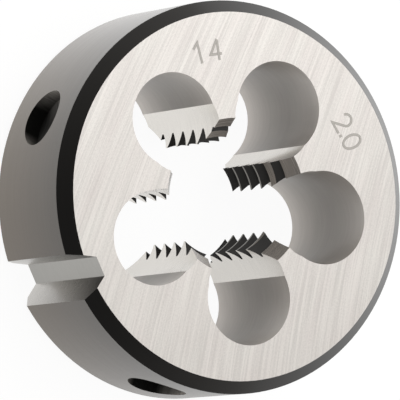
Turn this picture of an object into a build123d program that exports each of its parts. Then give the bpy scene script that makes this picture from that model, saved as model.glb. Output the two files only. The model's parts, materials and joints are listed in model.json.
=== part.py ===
from build123d import *
from math import radians, tan
import os

# Round threading die, lying on its back face. Millimetres and degrees.
# Origin: the bore's axis in the back face. +Z leaves the front face, the side
# that meets the work first. The clamping notch faces -X.

# Turned body
body_diameter = 38.0
body_thickness = 14.0
front_edge_chamfer = 1.2
back_edge_chamfer = 1.0

# Cutting thread, 60 degree metric form, right hand
thread_diameter = 13.9      # over the roots: the crests of a 14 mm screw come out under size
thread_pitch = 2.0
thread_angle = 60.0
root_flat_share = 1 / 8     # flat at the bottom of the groove, as a share of the pitch
crest_flat_share = 1 / 8    # flat left on the crest of each tooth
groove_height_at_x = 0.25   # height of one groove's centre line where it crosses +X

# Lead cones at the two mouths of the thread. A relief is how far the mouth stands
# outside the thread's roots, a length runs from the face to the first full crest.
front_mouth_relief = 0.6
front_lead_length = 3.1
back_mouth_relief = 0.95
back_lead_length = 3.5

# Chip holes around the thread
hole_count = 5
hole_diameter = 9.1
hole_break_in = 0.33        # how far each hole reaches inside the thread's crests

# Ground rake faces, one on each side of every land
rake_pin_diameter = 7.8
land_neck_width = 1.8
land_neck_offset = 0.25     # how far the neck stands outside the thread's roots

# Clamping notch in the rim
notch_depth = 2.5
notch_floor_width = 2.0
notch_angle = 60.0

# Dimples for the holder's screws
dimple_diameter = 5.8
dimple_wall = 1.6
dimple_tip_angle = 118.0
dimple_offset_angle = 49.0  # from the notch, to either side

# How far a cutting shape runs past the face it opens, and a groove past the crests
overrun = 1.0
groove_overrun = 0.4

body_radius = body_diameter / 2
root_radius = thread_diameter / 2
hole_radius = hole_diameter / 2
rake_pin_radius = rake_pin_diameter / 2
notch_direction = 180.0

flank_slope = tan(radians(thread_angle / 2))
root_flat = thread_pitch * root_flat_share
flank_width = thread_pitch * (1 - root_flat_share - crest_flat_share) / 2
crest_radius = root_radius - flank_width / flank_slope

front_mouth_radius = root_radius + front_mouth_relief
back_mouth_radius = root_radius + back_mouth_relief
hole_circle_radius = crest_radius + hole_radius - hole_break_in

land_spacing = 360 / hole_count
groove_span = land_spacing * 2 / 3  # a pass over one land starts and ends inside a chip hole


def turned_body():
    """The disc with its edge chamfers, its bore and the two lead cones."""
    section = Polyline(
        (crest_radius, back_lead_length),
        (back_mouth_radius, 0),
        (body_radius - back_edge_chamfer, 0),
        (body_radius, back_edge_chamfer),
        (body_radius, body_thickness - front_edge_chamfer),
        (body_radius - front_edge_chamfer, body_thickness),
        (front_mouth_radius, body_thickness),
        (crest_radius, body_thickness - front_lead_length),
        close=True,
    )
    # The surfaces' seam is turned into a chip hole, where it is cut away with the bore
    return Rot(0, 0, land_spacing / 2) * revolve(Plane.XZ * make_face(section), Axis.Z)


def through_cylinder(radius):
    """A cutter that runs past both faces of the disc."""
    length = body_thickness + 2 * overrun
    lift = Pos(0, 0, body_thickness / 2)
    return lift * Cylinder(radius, length)


def chip_holes():
    places = PolarLocations(hole_circle_radius, hole_count, start_angle=land_spacing / 2)
    return [place * through_cylinder(hole_radius) for place in places]


def rake_pins():
    """Small wheels that hollow both sides of each land to a narrow neck."""
    neck_radius = root_radius + land_neck_offset
    stand_off = land_neck_width / 2 + rake_pin_radius
    pin = through_cylinder(rake_pin_radius)
    return [
        Rot(0, 0, land * land_spacing) * Pos(neck_radius, side * stand_off, 0) * pin
        for land in range(hole_count)
        for side in (-1, 1)
    ]


def groove_pass():
    """The stretch of the helical V that crosses one land, centred on +X at height 0."""
    inner_radius = crest_radius - groove_overrun
    outer_half = root_flat / 2
    inner_half = outer_half + (root_radius - inner_radius) * flank_slope
    rise = thread_pitch * groove_span / 360

    corners = [
        (root_radius, -outer_half),
        (root_radius, outer_half),
        (inner_radius, inner_half),
        (inner_radius, -inner_half),
    ]
    edges = [Helix(thread_pitch, rise, radius, center=(0, 0, height)) for radius, height in corners]
    sides = [Face.make_surface_from_curves(edges[i - 1], edges[i]) for i in range(len(edges))]
    ends = [
        Face(Wire.make_polygon([edge @ place for edge in edges], close=True))
        for place in (0, 1)
    ]
    return Rot(0, 0, -groove_span / 2) * Pos(0, 0, -rise / 2) * Solid(Shell(sides + ends))


def thread_grooves():
    """One groove pass for each turn of the thread on each land, along one right-hand helix."""
    one_pass = groove_pass()
    passes = []
    for land in range(hole_count):
        angle = land * land_spacing
        height = (groove_height_at_x + thread_pitch * angle / 360) % thread_pitch - thread_pitch
        while height < body_thickness + thread_pitch:
            passes.append(Rot(0, 0, angle) * Pos(0, 0, height) * one_pass)
            height += thread_pitch
    return passes


def notch():
    """A flat-bottomed V through the whole thickness of the rim."""
    floor_distance = body_radius - notch_depth
    mouth_distance = body_radius + overrun
    floor_half = notch_floor_width / 2
    mouth_half = floor_half + (mouth_distance - floor_distance) * tan(radians(notch_angle / 2))
    outline = Polyline(
        (floor_distance, -floor_half),
        (mouth_distance, -mouth_half),
        (mouth_distance, mouth_half),
        (floor_distance, floor_half),
        close=True,
    )
    return Rot(0, 0, notch_direction) * extrude(make_face(outline), body_thickness)


def dimple(angle):
    """A drilled blind hole with its drill point, square to the rim."""
    radius = dimple_diameter / 2
    tip = radius / tan(radians(dimple_tip_angle / 2))
    bottom = body_radius - dimple_wall
    mouth = body_radius + overrun
    outline = Polyline((0, bottom - tip), (radius, bottom), (radius, mouth), (0, mouth), close=True)
    drill = revolve(Plane.XZ * make_face(outline), Axis.Z)
    return Rot(0, 0, angle) * Pos(0, 0, body_thickness / 2) * Rot(0, 90, 0) * drill


def threading_die():
    die = turned_body()
    die = die - chip_holes() - rake_pins()
    die = die - thread_grooves()
    die = die - notch()
    for side in (-1, 1):
        die = die - dimple(notch_direction + side * dimple_offset_angle)
    return die


os.makedirs("parts", exist_ok=True)
die = threading_die()
die.label = "threading_die"
export_step(die, "parts/threading_die.step")
print("threading_die", len(die.solids()), "solid", round(die.volume, 1), "cubic mm")
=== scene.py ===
# %% [markdown]
# A threading die is a thick steel disc that cuts a screw thread on a rod. Its bore
# is threaded, and five holes around the bore open the thread into cutting lands.
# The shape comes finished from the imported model, so this lesson is about finish:
# one solid whose surfaces were turned, drilled, oxidised and ground at different
# stages, and so look as different as black and silver.

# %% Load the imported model
import json
from math import cos, hypot, pi, radians, sin

import bmesh
import bpy
from mathutils import Matrix, Quaternion, Vector


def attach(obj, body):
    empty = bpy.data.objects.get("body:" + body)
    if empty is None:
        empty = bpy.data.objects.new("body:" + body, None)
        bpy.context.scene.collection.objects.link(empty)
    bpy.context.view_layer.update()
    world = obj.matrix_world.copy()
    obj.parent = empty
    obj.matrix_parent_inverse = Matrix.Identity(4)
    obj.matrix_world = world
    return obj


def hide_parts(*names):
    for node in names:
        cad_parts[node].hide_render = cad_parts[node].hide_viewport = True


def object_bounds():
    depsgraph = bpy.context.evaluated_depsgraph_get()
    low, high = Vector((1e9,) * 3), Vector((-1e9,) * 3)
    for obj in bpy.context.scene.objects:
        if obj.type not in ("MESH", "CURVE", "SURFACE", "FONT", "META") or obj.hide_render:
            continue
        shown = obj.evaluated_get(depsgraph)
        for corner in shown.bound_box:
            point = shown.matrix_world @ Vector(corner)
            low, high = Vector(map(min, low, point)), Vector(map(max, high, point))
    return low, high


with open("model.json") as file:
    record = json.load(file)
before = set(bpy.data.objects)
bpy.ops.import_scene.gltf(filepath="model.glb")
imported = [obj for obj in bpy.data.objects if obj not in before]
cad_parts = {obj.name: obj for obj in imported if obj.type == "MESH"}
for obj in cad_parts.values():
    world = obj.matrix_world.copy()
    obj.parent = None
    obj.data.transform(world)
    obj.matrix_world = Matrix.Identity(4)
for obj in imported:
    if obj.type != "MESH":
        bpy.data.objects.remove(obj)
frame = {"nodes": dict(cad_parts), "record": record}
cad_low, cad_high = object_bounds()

print("CAD box", [round(v, 4) for v in (*cad_low, *cad_high)])

# %% [markdown]
# The frame says how large the disc is and where its rim is drilled. The radii
# inside the bore are repeated here, because they tell a drilled wall from a ground
# one, which look alike to a test on normals alone.

# %% Sizes in metres
MM = 0.001
mounts = {mount["name"]: mount for mount in frame["record"]["mounts"]}
rim_radius = mounts["rim_seat"]["dims"]["r_mm"] * MM
thickness = cad_high.z
dimples = [mounts["clamp_dimple_left"], mounts["clamp_dimple_right"]]
dimple_radius = dimples[0]["dims"]["r_mm"] * MM

land_count = 5
hole_radius = 4.55 * MM
hole_circle_radius = 9.87 * MM
crest_radius = 5.65 * MM
root_radius = 6.95 * MM
notch_depth = 2.5 * MM
edge_chamfer = 1.2 * MM
print("rim radius", rim_radius, "thickness", round(thickness, 4))

# %% [markdown]
# A few steps come up again and again: a node with its inputs, a sum of two values,
# an empty node tree, an object for finished data. Each is a small helper, so that
# the cells below read as lists of what a thing is made of.

# %% Helpers for nodes and objects
def add(tree, kind, inputs=None, **settings):
    """A node with its settings; each input gets a value or another node's output."""
    made = tree.nodes.new(kind)
    for name, value in settings.items():
        setattr(made, name, value)
    for name, value in (inputs or {}).items():
        if isinstance(value, bpy.types.NodeSocket):
            tree.links.new(value, made.inputs[name])
        else:
            made.inputs[name].default_value = value
    return made


def compute(tree, operation, first, second=0.0):
    """The output of one Math node."""
    return add(tree, "ShaderNodeMath", {0: first, 1: second}, operation=operation).outputs[0]


def mix(tree, share, first, second):
    """A colour between two others; they are sockets 6 and 7 of a Mix node."""
    return add(tree, "ShaderNodeMix", {0: share, 6: first, 7: second}, data_type="RGBA").outputs[2]


def empty_tree(owner):
    """The node tree of a material or a world, with nothing in it."""
    owner.use_nodes = True
    owner.node_tree.nodes.clear()
    return owner.node_tree


def mesh_from(name, work):
    """The mesh that a bmesh has become."""
    mesh = bpy.data.meshes.new(name)
    work.to_mesh(mesh)
    work.free()
    return mesh


def in_scene(name, data):
    """An object for a mesh, a camera or a lamp."""
    made = bpy.data.objects.new(name, data)
    bpy.context.scene.collection.objects.link(made)
    return made


print("the helpers are ready")

# %% [markdown]
# The camera stands where the picture was taken from: half a metre up on the notch's
# side, with a long lens that keeps the disc's edges nearly parallel. The picture
# has the die on its rim, and here it lies on its back face, so the camera is rolled
# until the front face looks to the right.

# %% Camera
camera_azimuth = radians(162.604)
camera_elevation = radians(60.506)
camera_distance = 608.53 * MM
camera_roll = radians(82.557)
camera_aim = Vector((-0.08 * MM, 0.12 * MM, thickness / 2))

camera = in_scene("camera", bpy.data.cameras.new("camera"))
camera.data.lens = 564.3
camera.data.sensor_width = 36
camera.data.clip_start = 0.01
camera.data.clip_end = 20

away = Vector((1, 0, 0))
away.rotate(Quaternion((0, -1, 0), camera_elevation))
away.rotate(Quaternion((0, 0, 1), camera_azimuth))
camera.location = camera_aim + away * camera_distance
camera.rotation_mode = "QUATERNION"
camera.rotation_quaternion = (-away).to_track_quat("-Z", "Y") @ Quaternion((0, 0, 1), camera_roll)
bpy.context.scene.camera = camera
bpy.context.scene.view_settings.view_transform = "Standard"
print("camera at", [round(v, 4) for v in camera.location])

# %% [markdown]
# Bare metal has almost no colour of its own to shade: it shows the room. In an even
# white room all walls of the bore would have the same grey. So this room is dim on
# one side and bright on the other, and a little warm, for whatever the metal
# mirrors. Only what the camera sees of it directly is plain white.

# %% Room
bright_side = Vector((0.80, -0.08, 0.595))
dimmest_at = -0.5       # how far a direction points to the bright side
brightest_at = 0.7
room_dim = 0.20
room_bright = 0.80
room_tint = (1.0, 0.98, 0.955, 1)
white = (1, 1, 1, 1)

world = bpy.data.worlds.new("soft_room")
tree = empty_tree(world)
direction = add(tree, "ShaderNodeTexCoord").outputs["Generated"]
towards = add(tree, "ShaderNodeVectorMath", {0: direction, 1: bright_side}, operation="DOT_PRODUCT")
level = add(
    tree, "ShaderNodeMapRange",
    {"Value": towards.outputs["Value"], "From Min": dimmest_at, "From Max": brightest_at,
     "To Min": room_dim, "To Max": room_bright},
    interpolation_type="SMOOTHSTEP",
)
by_camera = add(tree, "ShaderNodeLightPath").outputs["Is Camera Ray"]
strength = compute(tree, "MAXIMUM", level.outputs["Result"], by_camera)
tint = mix(tree, by_camera, room_tint, white)
room = add(tree, "ShaderNodeBackground", {"Color": tint, "Strength": strength})
add(tree, "ShaderNodeOutputWorld", {"Surface": room.outputs[0]})
bpy.context.scene.world = world
print("room from", room_dim, "to", room_bright)

# %% [markdown]
# A square lamp stands a quarter of a metre away on the bright side, not far from the
# place that the front face mirrors to the camera. So it brings out the lines in the
# ground steel. It is large for its distance, which keeps the shadow soft.

# %% Lamp
lamp_place = Vector((0.146, 0.068, 0.192))

light = bpy.data.lights.new("key_lamp", "AREA")
light.size = 0.20
light.energy = 0.125
lamp = in_scene("key_lamp", light)
lamp.location = lamp_place
lamp.rotation_euler = (camera_aim - lamp_place).to_track_quat("-Z", "Y").to_euler()
print("lamp at", list(lamp_place))

# %% [markdown]
# The die lies on a wide pale plane. The plane is a hair below the back face, because
# two faces at one height flicker through each other.

# %% Floor
floor_half = 1.5
floor_gap = 0.02 * MM

work = bmesh.new()
bmesh.ops.create_grid(work, x_segments=1, y_segments=1, size=floor_half)
bmesh.ops.translate(work, verts=work.verts, vec=(0, 0, -floor_gap))
floor = in_scene("floor", mesh_from("floor", work))
print("floor", 2 * floor_half, "m square")

# %% [markdown]
# The camera sees the floor mostly as plain white. The rest of it is lit in the normal
# way, which keeps a faint shadow. The walls of the bore mirror the floor as well. For
# them it glows more on the +Y side than on the -Y side, so that walls that face
# different ways differ in tone.

# %% Finish of the floor
floor_tone = (0.90, 0.90, 0.90, 1)
camera_share = 0.86     # share of the glow in what the camera sees
mirror_share = 0.75     # and in what metal mirrors
camera_glow = 1.08
low_glow = 0.78         # in mirrors, at the reach on the -Y side
high_glow = 1.24        # and on the +Y side
glow_reach = 22 * MM

pale = bpy.data.materials.new("pale_floor")
tree = empty_tree(pale)
lit = add(tree, "ShaderNodeBsdfDiffuse", {"Color": floor_tone})
path = add(tree, "ShaderNodeLightPath").outputs
by_camera = path["Is Camera Ray"]
by_mirror = compute(tree, "MAXIMUM", path["Is Glossy Ray"], path["Is Transmission Ray"])

place = add(tree, "ShaderNodeTexCoord").outputs["Object"]
mirrored = add(
    tree, "ShaderNodeMapRange",
    {"Value": add(tree, "ShaderNodeSeparateXYZ", {0: place}).outputs["Y"],
     "From Min": -glow_reach, "From Max": glow_reach, "To Min": low_glow, "To Max": high_glow},
).outputs["Result"]
glow = add(tree, "ShaderNodeMix", {0: by_camera, 2: mirrored, 3: camera_glow}).outputs[0]
glowing = add(tree, "ShaderNodeEmission", {"Color": white, "Strength": glow})

share = compute(
    tree, "MAXIMUM",
    compute(tree, "MULTIPLY", by_camera, camera_share),
    compute(tree, "MULTIPLY", by_mirror, mirror_share),
)
mixed = add(tree, "ShaderNodeMixShader", {0: share, 1: lit.outputs[0], 2: glowing.outputs[0]})
add(tree, "ShaderNodeOutputMaterial", {"Surface": mixed.outputs[0]})
floor.data.materials.append(pale)
print("in mirrors the floor glows from", low_glow, "to", high_glow)

# %% [markdown]
# The imported mesh is loose triangles, which is right for a frame but can't be shaded
# smoothly. The dressed die is a copy of it whose doubled corners are merged. The
# copy is shown instead of the imported node, and takes the finishes.

# %% A merged copy of the die
doubled = 0.0005 * MM

cad_die = frame["nodes"]["threading_die"]
work = bmesh.new()
work.from_mesh(cad_die.data)
bmesh.ops.remove_doubles(work, verts=work.verts, dist=doubled)
print("merged die:", len(work.verts), "corners,", len(work.faces), "faces")

# %% [markdown]
# Each face now gets the name of the surface it belongs to. A maker would know the
# surface by the tool that made it, and here its place and its normal say the same.

# %% What tells the surfaces apart
surfaces = [
    "ground_face", "rim", "black_edge", "notch_floor", "notch_wall", "dimple_wall",
    "drilled_wall", "rake_face", "lead_cone", "thread_flank", "thread_crest",
]
hole_centres = [
    Matrix.Rotation(2 * pi * (hole + 0.5) / land_count, 3, "Z") @ Vector((hole_circle_radius, 0, 0))
    for hole in range(land_count)
]
between_crest_and_root = (crest_radius + root_radius) / 2

# The least part of a surface's normal that lies along Z, and for a wall the most
level_face = 0.999
steep_flank = 0.75
chamfer_tilt = 0.3
cone_tilt = 0.2
upright_wall = 0.01
# The part that points at the bore's axis, and the part that points along X
straight_in = -0.97
out_of_notch = -0.9
# How near a face's middle lies to the shape that it was cut on
on_circle = 0.02 * MM
on_thread = 0.05 * MM
on_notch = 0.1 * MM
dimple_slack = 1.02         # times the dimple's radius
print(len(surfaces), "surfaces,", len(hole_centres), "chip holes")

# %% [markdown]
# Two kinds of face need a test of their own. A dimple's faces lie around an axis of
# its own, and the bore has walls, cones and teeth close together.

# %% Tests for the dimples and the bore
def in_dimple(place):
    """True for a place inside one of the two screw dimples."""
    for dimple in dimples:
        axis = Vector(dimple["axis"])
        offset = place - Vector(dimple["pos_m"])
        near_axis = offset.cross(axis).length < dimple_radius * dimple_slack
        if near_axis and offset.dot(axis) > -dimple_radius:
            return True
    return False


def bore_surface(place, normal, reach):
    """The surface of a face inside the bore and its chip holes."""
    if abs(normal.z) > steep_flank:
        return "thread_flank"
    if abs(normal.z) > cone_tilt:
        return "lead_cone"
    off_wall = min(abs(hypot(place.x - c.x, place.y - c.y) - hole_radius) for c in hole_centres)
    if off_wall < on_circle:
        return "drilled_wall"
    inward = (normal.x * place.x + normal.y * place.y) / reach < straight_in
    if inward and min(abs(reach - crest_radius), abs(reach - root_radius)) < on_thread:
        return "thread_crest" if reach < between_crest_and_root else "thread_flank"
    return "rake_face"


print("the tests are ready")

# %% [markdown]
# The other surfaces are told in turn, the plainest first. Each face keeps its
# surface as the number of a material, so the finishes can be made later.

# %% Name every face's surface
def surface_of(face):
    """The surface that a face belongs to, by its place and the way it faces."""
    place = face.calc_center_median()
    normal = face.normal
    reach = hypot(place.x, place.y)
    if abs(normal.z) > level_face:
        return "ground_face"
    if in_dimple(place):
        return "dimple_wall"
    if reach > rim_radius - on_circle and abs(normal.z) < upright_wall:
        return "rim"
    if reach > rim_radius - edge_chamfer and abs(normal.z) > chamfer_tilt:
        return "black_edge"
    if place.x < notch_depth - rim_radius + on_notch:
        return "notch_floor" if normal.x < out_of_notch else "notch_wall"
    return bore_surface(place, normal, reach)


counts = dict.fromkeys(surfaces, 0)
for face in work.faces:
    surface = surface_of(face)
    counts[surface] += 1
    face.material_index = surfaces.index(surface)
    face.smooth = True
print(counts)

# %% [markdown]
# Where two surfaces meet, the corner stays crisp. Everywhere else the shading runs
# smoothly over the facets, as over a turned or drilled surface.

# %% Keep the corners between surfaces sharp
corner_angle = radians(25)
for edge in work.edges:
    if len(edge.link_faces) == 2:
        first, second = edge.link_faces
        same = first.material_index == second.material_index
        edge.smooth = same and edge.calc_face_angle(0) < corner_angle
print("sharp edges:", sum(not edge.smooth for edge in work.edges))

# %% [markdown]
# The copy is ready. From here on it is the die: the imported node is hidden, and
# the copy rides on the one body that a die in one piece has.

# %% Finish the piece
die = in_scene("dressed_die", mesh_from("dressed_die", work))
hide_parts("threading_die")
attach(die, "root")

# %% [markdown]
# Two numbers are marked on the front face: the thread's size near the top and its
# pitch near the right edge. On the real die a laser burns them into the ground
# steel, which leaves a dull line. Its borders are painted darker, as painted shade.
# A text object would give filled letters. Each digit is a pen stroke here instead:
# a flat ribbon along a path, with a coordinate that runs across the ribbon.

# %% Paths of the digits
arc_step = 15       # degrees


def arc(centre, radii, first, last):
    """Points on an ellipse from one angle to another, in degrees."""
    steps = max(4, round(abs(last - first) / arc_step))
    angles = [radians(first + (last - first) * step / steps) for step in range(steps + 1)]
    return [(centre[0] + radii[0] * cos(a), centre[1] + radii[1] * sin(a)) for a in angles]


# Every digit stands on the line y = 0 and is one unit high and about 0.6 wide
digit_middle = (0.3, 0.5)
digits = {
    "1": [[(-0.02, 0.74), (0.27, 1.0), (0.27, 0.0)]],
    "4": [[(0.62, 0.30), (0.0, 0.30), (0.44, 1.0)], [(0.44, 0.0), (0.44, 0.94)]],
    "2": [[*arc((0.30, 0.70), (0.28, 0.30), 170, -35), (0.0, 0.0), (0.62, 0.0)]],
    ".": [[(0.26, -0.03), (0.26, 0.13)]],
    "0": [arc((0.30, 0.50), (0.30, 0.50), 90, 450)],
}
print("digits:", " ".join(digits))

# %% [markdown]
# A stroke's two borders run beside its path. At a bend the ribbon is wider across
# the corner, by one over the cosine of half the turn, so that its borders stay
# parallel. A limit keeps the sharpest corners from shooting out.

# %% A ribbon along a path
least_cosine = 0.4


def ribbon(work, across, points, width, level):
    """A flat strip of faces along a path, with its corners mitred."""
    sides = []
    for index, point in enumerate(points):
        before = (Vector(point) - Vector(points[max(index - 1, 0)])).normalized()
        after = (Vector(points[min(index + 1, len(points) - 1)]) - Vector(point)).normalized()
        along = (before + after).normalized()
        ahead = after if after.length else before
        stretch = 1 / max(least_cosine, along.dot(ahead))
        normal = Vector((-along.y, along.x)) * width / 2 * stretch
        sides.append([work.verts.new((*(Vector(point) + side * normal), level)) for side in (1, -1)])
    for (left, right), (next_left, next_right) in zip(sides, sides[1:]):
        face = work.faces.new((left, right, next_right, next_left))
        for loop in face.loops:
            loop[across].uv = (float(loop.vert in (left, next_left)), 0.5)


print("ribbons are ready")

# %% [markdown]
# The digits stand on an arc around the disc's middle and face outwards, as a marking
# machine sets them. Each one is drawn upright at unit size, then scaled, moved out
# to its radius and turned to its place. They lie a hair above the ground face.

# %% Marks on the front face
mark_height = 2.05 * MM
mark_stroke = 0.24 / 2.05   # as a share of the height
mark_lift = 0.01 * MM
stroke_step = 0.002         # lifts a stroke off the one that it crosses


def mark(name, text, radius, azimuth, places):
    """A number on the front face whose digits stand on an arc and face outwards."""
    work = bmesh.new()
    across = work.loops.layers.uv.new("across")
    for character, place in zip(text, places):
        first = len(work.verts)
        for index, points in enumerate(digits[character]):
            ribbon(work, across, points, mark_stroke, index * stroke_step)
        work.verts.ensure_lookup_table()
        lean = azimuth - radians(90) - place * mark_height / radius
        spot = (
            Matrix.Rotation(lean, 4, "Z")
            @ Matrix.Translation((0, radius, thickness + mark_lift))
            @ Matrix.Scale(mark_height, 4)
            @ Matrix.Translation((-digit_middle[0], -digit_middle[1], 0))
        )
        bmesh.ops.transform(work, matrix=spot, verts=work.verts[first:])
    marked = in_scene(name, mesh_from(name, work))
    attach(marked, "root")
    return marked


size_mark = mark(
    "size_mark", "14", radius=14.2 * MM, azimuth=radians(77), places=(-0.42, 0.42),
)
pitch_mark = mark(
    "pitch_mark", "2.0", radius=14.1 * MM, azimuth=radians(2.6), places=(-0.50, 0.06, 0.52),
)
print("marks:", size_mark.name, pitch_mark.name)

# %% [markdown]
# Tools leave lines, and lines are noise that is stretched along them. A picture of
# scratches could do it too, but noise stays sharp from near and follows any curve.
# One node group makes the lines for every finish. It also puts out masks for a
# second tone: uneven patches, pale places at the dimples, and painted shade and
# painted light along the height of the disc and of its holes.

# %% A shader group for tool marks
tool_marks = bpy.data.node_groups.new("tool_marks", "ShaderNodeTree")
for name, value in (("Spacing", 0.1 * MM), ("Length", 20 * MM), ("Speckle", 0.0)):
    socket = tool_marks.interface.new_socket(name, in_out="INPUT", socket_type="NodeSocketFloat")
    socket.default_value = value
for name in ("Arcs", "Rings", "Patches", "Height", "Ends", "Sides"):
    tool_marks.interface.new_socket(name, in_out="OUTPUT", socket_type="NodeSocketFloat")
asked = add(tool_marks, "NodeGroupInput").outputs
answers = add(tool_marks, "NodeGroupOutput").inputs


def group_value(operation, first, second=0.0):
    """The output of one Math node in the group."""
    return compute(tool_marks, operation, first, second)


def answer(name, value):
    """Puts a value out of the group."""
    tool_marks.links.new(value, answers[name])


print("group:", tool_marks.name)

# %% [markdown]
# Noise has grains one unit wide. When a place is divided by a spacing across the
# line and by a length along it, each grain is drawn out into a scratch. Broad
# scratches alone look combed, so finer ones lie over them.

# %% Noise along a line
fine_lines = 2.6        # how many fine lines fit into a broad one


def stretched_noise(across, along, spacing, length):
    """Noise whose grains are one spacing wide and one length long."""
    place = add(
        tool_marks, "ShaderNodeCombineXYZ",
        {"X": group_value("DIVIDE", across, spacing), "Y": group_value("DIVIDE", along, length)},
    )
    return add(
        tool_marks, "ShaderNodeTexNoise",
        {"Vector": place.outputs[0], "Scale": 1.0, "Detail": 2.0, "Roughness": 0.55},
        noise_dimensions="2D",
    ).outputs["Fac"]


def tool_lines(across, along):
    """Broad lines with finer ones over them, and speckle where it is asked for."""
    broad = stretched_noise(across, along, asked["Spacing"], asked["Length"])
    fine_spacing = group_value("DIVIDE", asked["Spacing"], fine_lines)
    fine = stretched_noise(across, along, fine_spacing, asked["Length"])
    speckle = stretched_noise(across, along, fine_spacing, fine_spacing)
    speckle = group_value("MULTIPLY", group_value("SUBTRACT", speckle, 0.5), asked["Speckle"])
    mean = group_value("MULTIPLY", group_value("ADD", broad, fine), 0.5)
    return group_value("ADD", mean, speckle)


print("fine lines lie", fine_lines, "times as close as broad ones")

# %% [markdown]
# The wheel that ground the face crossed it again and again, and each pass left the
# same shallow arc a little further along. So a point's arc is found by going back
# along it to Y = 0. The steel also took the wheel unevenly, which shows as patches.

# %% Arcs and patches of a ground face
arc_lean = 1.00             # how far an arc runs along X for each step along Y
arc_bend = 0.0097 / MM      # how much more it does so further up
arc_width = 0.70            # from a step along X to a step across the arc
patch_width = 1.6 * MM
patch_length = 5 * MM

place = add(tool_marks, "ShaderNodeTexCoord").outputs["Object"]
x, y, z = add(tool_marks, "ShaderNodeSeparateXYZ", {0: place}).outputs
lean = group_value("ADD", arc_lean, group_value("MULTIPLY", y, arc_bend))
across = group_value("SUBTRACT", x, group_value("MULTIPLY", y, lean))
across = group_value("MULTIPLY", across, arc_width)
answer("Arcs", tool_lines(across, y))
answer("Patches", stretched_noise(across, y, patch_width, patch_length))
print("arcs bend by", arc_bend, "for each metre")

# %% [markdown]
# A turned rim and a drilled wall have rings instead. All of them are level, because
# the disc and its holes are upright. So they are the same lines, one above another
# along Z, and they run around the disc's axis.

# %% Rings of a turned or drilled wall
flat = add(tool_marks, "ShaderNodeCombineXYZ", {"X": x, "Y": y}).outputs[0]
reach = add(tool_marks, "ShaderNodeVectorMath", {0: flat}, operation="LENGTH").outputs["Value"]
around = group_value("MULTIPLY", group_value("ARCTAN2", y, x), reach)
answer("Rings", tool_lines(z, around))
print("rings run around Z")

# %% [markdown]
# Three masks say where a tone changes. Height goes from 0 at the back face to 1 at
# the front; the rim and the notch walls use it for painted shade. Ends is 0 near the
# middle of a chip hole, and grows to about 1 at its mouths: painted shade in the
# middle of the hole and painted light at its mouths. Sides is 1 where the rim opens
# into a dimple at half height, and fades away from there inwards, up and down.

# %% Masks for changes of tone
darkest_height = 0.53
pale_after = 0.5            # share of the height from the darkest place to a pale end
rubbed_depth = 2.4 * MM
rubbed_half = 2.6 * MM

height = group_value("DIVIDE", z, thickness)
answer("Height", height)

# Ends: painted shade in the middle of a chip hole, painted light at its mouths.
from_dark = group_value("DIVIDE", group_value("SUBTRACT", height, darkest_height), pale_after)
answer("Ends", group_value("MULTIPLY", from_dark, from_dark))

mouth = add(
    tool_marks, "ShaderNodeMapRange",
    {"Value": reach, "From Min": rim_radius - rubbed_depth, "From Max": rim_radius},
).outputs["Result"]
off_middle = group_value("ABSOLUTE", group_value("SUBTRACT", height, 0.5))
faded = group_value("MULTIPLY", off_middle, thickness / rubbed_half)
side = group_value("MAXIMUM", group_value("SUBTRACT", 1.0, faded), 0.0)
answer("Sides", group_value("MULTIPLY", mouth, side))
print("the group has", len(tool_marks.nodes), "nodes")

# %% [markdown]
# A finish is one Principled shader. The tool lines swing its colour and its
# roughness a little to each side of the written ones, and raise a faint relief. A
# second colour comes in where one of the group's masks says so. Steel with a skin of
# oxide or oil also has a clear coat, which shows little head-on and much at a
# glancing angle.

# %% A steel finish
noise_low = 0.35        # most of the noise lies between these two
noise_high = 0.65
finishes = {}


def follow(tree, lines, low, high):
    """A value that goes from low to high with the tool lines."""
    return add(
        tree, "ShaderNodeMapRange",
        {"Value": lines, "From Min": noise_low, "From Max": noise_high,
         "To Min": low, "To Max": high},
    ).outputs["Result"]


def steel(name, colour, roughness, spacing, length, lines="Rings", speckle=0.0, swing=0.05,
          rough_swing=0.04, relief=0.001, blend="Height", second=None, **more):
    """A finish, with its lengths in mm. More are other inputs of the shader."""
    material = bpy.data.materials.new(name)
    tree = empty_tree(material)
    marks = add(
        tree, "ShaderNodeGroup",
        {"Spacing": spacing * MM, "Length": length * MM, "Speckle": speckle},
        node_tree=tool_marks,
    ).outputs
    tone = mix(tree, marks[blend], (*colour, 1), (*(second or colour), 1))
    gain = follow(tree, marks[lines], 1 - swing, 1 + swing)
    lined = add(tree, "ShaderNodeVectorMath", {0: tone, "Scale": gain}, operation="SCALE")
    grain = follow(tree, marks[lines], roughness + rough_swing, roughness - rough_swing)
    bump = add(tree, "ShaderNodeBump", {"Height": marks[lines], "Distance": relief * MM})
    shader = add(
        tree, "ShaderNodeBsdfPrincipled",
        {"Base Color": lined.outputs[0], "Roughness": grain, "Metallic": 1.0,
         "Normal": bump.outputs[0]},
    )
    for socket, value in more.items():
        shader.inputs[socket.replace("_", " ")].default_value = value
    add(tree, "ShaderNodeOutputMaterial", {"Surface": shader.outputs[0]})
    finishes[name] = material


print("steel finishes are ready")

# %% [markdown]
# The two faces are ground after the steel was oxidised, so they are bare and silver.
# They show the wheel's arcs, and patches that are a little darker and warmer.

# %% Ground faces
steel(
    "ground_face", (0.687, 0.673, 0.643), 0.36, spacing=0.32, length=9, lines="Arcs",
    speckle=0.5, swing=0.09, rough_swing=0.02, relief=0.003,
    blend="Patches", second=(0.655, 0.618, 0.598),
)
print("finished: ground_face")
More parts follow.
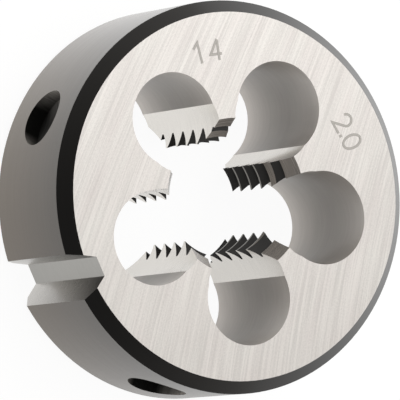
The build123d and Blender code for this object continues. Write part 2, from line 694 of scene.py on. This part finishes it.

# %% [markdown]
# The rim is turned and then oxidised, which leaves a brown-grey skin. Its colour is
# painted darker towards the front, as painted shade. The chamfers are as good as
# black. What light they give back comes from the coat, so they brighten only where
# they are seen at a flat angle.

# %% Rim and chamfers
# The rim's second colour, at the front, is painted shade.
steel(
    "rim", (0.128, 0.099, 0.068), 0.36, spacing=0.3, length=14, swing=0.02, rough_swing=0.02,
    blend="Height", second=(0.030, 0.022, 0.014), Coat_Weight=1.0, Coat_Roughness=0.25,
)
steel(
    "black_edge", (0.011, 0.0095, 0.008), 0.14, spacing=0.3, length=8, swing=0.15,
    Coat_Weight=1.0, Coat_Roughness=0.14, Coat_IOR=1.48,
)
print("finished: rim, black_edge")

# %% [markdown]
# The notch was ground through the dark skin, so it is bare again. Its walls are
# painted darker towards the front, as painted shade. The dimples kept the black of
# the bath. They are hardly metal, because a thick oxide is closer to a stone than to
# a metal.

# %% Notch and dimples
steel(
    "notch_floor", (0.42, 0.412, 0.39), 0.3, spacing=0.4, length=3, swing=0.02, rough_swing=0.01,
)
# The notch wall's second colour, at the front, is painted shade.
steel(
    "notch_wall", (0.70, 0.68, 0.65), 0.28, spacing=0.4, length=3, swing=0.02, rough_swing=0.01,
    relief=0.0002, blend="Height", second=(0.066, 0.061, 0.054),
)
steel(
    "dimple_wall", (0.012, 0.012, 0.011), 0.3, spacing=0.3, length=4, swing=0.3,
    blend="Sides", second=(0.85, 0.81, 0.76), Metallic=0.2, Specular_IOR_Level=0.1,
)
print("finished: notch_floor, notch_wall, dimple_wall")

# %% [markdown]
# The bore has both kinds of steel side by side. The drilled walls keep a thin dull
# skin, and the rake faces were ground bright after it, because they have to be
# sharp. On the teeth themselves the flanks stayed black, and the crests and the
# lead cones, which rub on the rod, are worn to grey.

# %% Chip holes and thread
# The drilled wall is painted darker in its middle and paler at its mouths: painted shade and painted
# light.
steel(
    "drilled_wall", (0.30, 0.277, 0.252), 0.5, spacing=0.4, length=6, swing=0.02, relief=0.0003,
    blend="Ends", second=(0.745, 0.70, 0.655), Metallic=0.6, Coat_Weight=1.0, Coat_Roughness=0.4,
)
steel(
    "rake_face", (0.85, 0.823, 0.778), 0.26, spacing=0.3, length=4, swing=0.02, rough_swing=0.01,
)
steel("lead_cone", (0.46, 0.43, 0.40), 0.25, spacing=0.2, length=6, swing=0.15, Metallic=0.5)
steel("thread_flank", (0.010, 0.009, 0.008), 0.35, spacing=0.4, length=4, swing=0.2, Metallic=0.0)
steel("thread_crest", (0.20, 0.19, 0.175), 0.3, spacing=0.2, length=4, swing=0.1)
print("finished: drilled_wall, rake_face, lead_cone, thread_flank, thread_crest")

# %% [markdown]
# Every face of the die already carries the number of its surface. So the finishes
# only have to be put on in the order of the surfaces.

# %% Put the finishes on the die
for surface in surfaces:
    die.data.materials.append(finishes[surface])
print(len(finishes), "finishes on", die.name)

# %% [markdown]
# The laser's line is duller than the ground face. Its two borders are painted
# darker, as painted shade. The ribbon's own coordinate says how far a point is from them.

# %% Finish of the marks
line_middle = (0.52, 0.50, 0.47, 1)
# The borders' colour is painted shade.
border_shade = (0.36, 0.345, 0.325, 1)
line_roughness = 0.5

burnt = bpy.data.materials.new("laser_mark")
tree = empty_tree(burnt)
coordinate = add(tree, "ShaderNodeUVMap", uv_map="across").outputs["UV"]
sideways = add(tree, "ShaderNodeSeparateXYZ", {0: coordinate}).outputs["X"]
from_middle = compute(tree, "ABSOLUTE", compute(tree, "SUBTRACT", sideways, 0.5))
tone = mix(tree, compute(tree, "MULTIPLY", from_middle, 2.0), line_middle, border_shade)
shader = add(
    tree, "ShaderNodeBsdfPrincipled",
    {"Metallic": 1.0, "Roughness": line_roughness, "Base Color": tone},
)
add(tree, "ShaderNodeOutputMaterial", {"Surface": shader.outputs[0]})
for marked in (size_mark, pitch_mark):
    marked.data.materials.append(burnt)
print("laser_mark on both marks")
